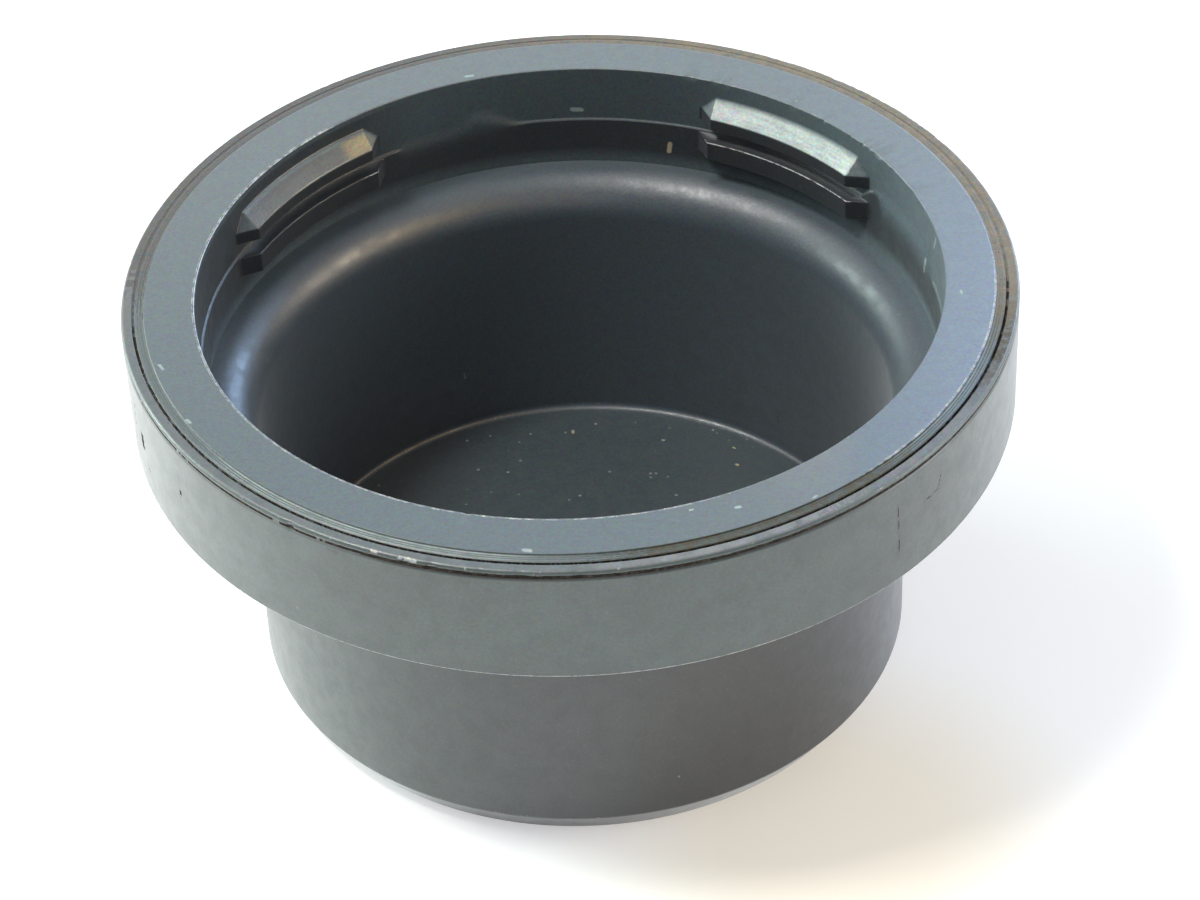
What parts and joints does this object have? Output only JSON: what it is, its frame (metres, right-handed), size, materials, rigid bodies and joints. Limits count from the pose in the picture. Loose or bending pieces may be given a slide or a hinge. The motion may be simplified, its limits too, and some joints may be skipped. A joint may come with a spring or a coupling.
{
  "type": "rear lens cap",
  "caption": "Round push-and-turn rear lens cap: deep cup with a wide flat rim, stepped outer edge, and bayonet lugs inside the mouth.",
  "frame": {"origin": "centre of the flat resting face at the foot of the lower cup", "axes": "+Z along the cap's axis, up out of the mouth; +X at 49.5 degrees before the first lug"},
  "size_m": [0.0524, 0.0524, 0.0267],
  "materials": {
    "cap_body": "fine grained, worn at the rim edge"
  },
  "bodies": {
    "root": {"cap_body": "cap_body"}
  },
  "joints": []
}
